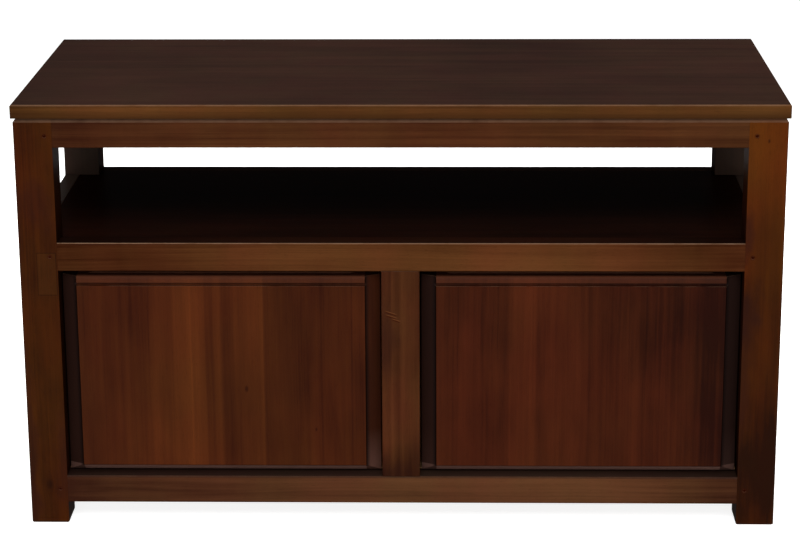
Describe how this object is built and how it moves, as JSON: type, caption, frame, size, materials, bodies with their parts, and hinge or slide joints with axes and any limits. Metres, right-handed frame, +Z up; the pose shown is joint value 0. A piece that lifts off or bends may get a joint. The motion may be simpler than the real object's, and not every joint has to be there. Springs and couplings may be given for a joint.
{
  "type": "tv stand",
  "caption": "Low dark wood television stand with an open shelf above side-by-side drawers that slide on wooden runners.",
  "frame": {"origin": "on the floor, under the middle of the top board", "axes": "+X to the right of someone facing the drawers, +Y to the back, +Z up; the drawers open towards -Y"},
  "size_m": [1, 0.45, 0.575],
  "materials": {
    "top_mahogany": "dark satin lacquer",
    "frame_mahogany": "satin lacquer",
    "shelf_mahogany": "glossy dark lacquer",
    "drawer_front_mahogany": "satin lacquer",
    "inner_wood": "planed, unfinished",
    "peg_wood": "dark end grain",
    "screw_steel": "zinc plated"
  },
  "bodies": {
    "frame": {"top_board": "top_mahogany", "leg_front_left": "frame_mahogany", "leg_front_right": "frame_mahogany", "leg_rear_left": "frame_mahogany", "leg_rear_right": "frame_mahogany", "front_top_rail": "frame_mahogany", "front_middle_rail": "frame_mahogany", "front_bottom_rail": "frame_mahogany", "centre_stile": "frame_mahogany", "rear_top_rail": "frame_mahogany", "rear_middle_rail": "frame_mahogany", "rear_bottom_rail": "frame_mahogany", "side_top_rail_left": "frame_mahogany", "side_top_rail_right": "frame_mahogany", "side_middle_rail_left": "frame_mahogany", "side_middle_rail_right": "frame_mahogany", "side_bottom_rail_left": "frame_mahogany", "side_bottom_rail_right": "frame_mahogany", "side_panel_left": "frame_mahogany", "side_panel_right": "frame_mahogany", "back_panel": "inner_wood", "shelf_board": "shelf_mahogany", "runner_left": "inner_wood", "runner_centre": "inner_wood", "runner_right": "inner_wood", "guide_left": "inner_wood", "guide_centre": "inner_wood", "guide_right": "inner_wood", "kicker_left": "inner_wood", "kicker_centre": "inner_wood", "kicker_right": "inner_wood", "drawer_stops": "inner_wood", "top_buttons": "inner_wood", "button_screws": "screw_steel", "joint_pegs": "peg_wood"},
    "drawer_left": {"drawer_left_front": "drawer_front_mahogany", "drawer_left_side_outer": "inner_wood", "drawer_left_side_inner": "inner_wood", "drawer_left_back": "inner_wood", "drawer_left_bottom": "inner_wood"},
    "drawer_right": {"drawer_right_front": "drawer_front_mahogany", "drawer_right_side_outer": "inner_wood", "drawer_right_side_inner": "inner_wood", "drawer_right_back": "inner_wood", "drawer_right_bottom": "inner_wood"}
  },
  "joints": [
    {"name": "drawer_left_slide", "type": "slide", "parent": "frame", "child": "drawer_left", "axis": [0, -1, 0], "range_m": [0, 0.3]},
    {"name": "drawer_right_slide", "type": "slide", "parent": "frame", "child": "drawer_right", "axis": [0, -1, 0], "range_m": [0, 0.3]}
  ]
}
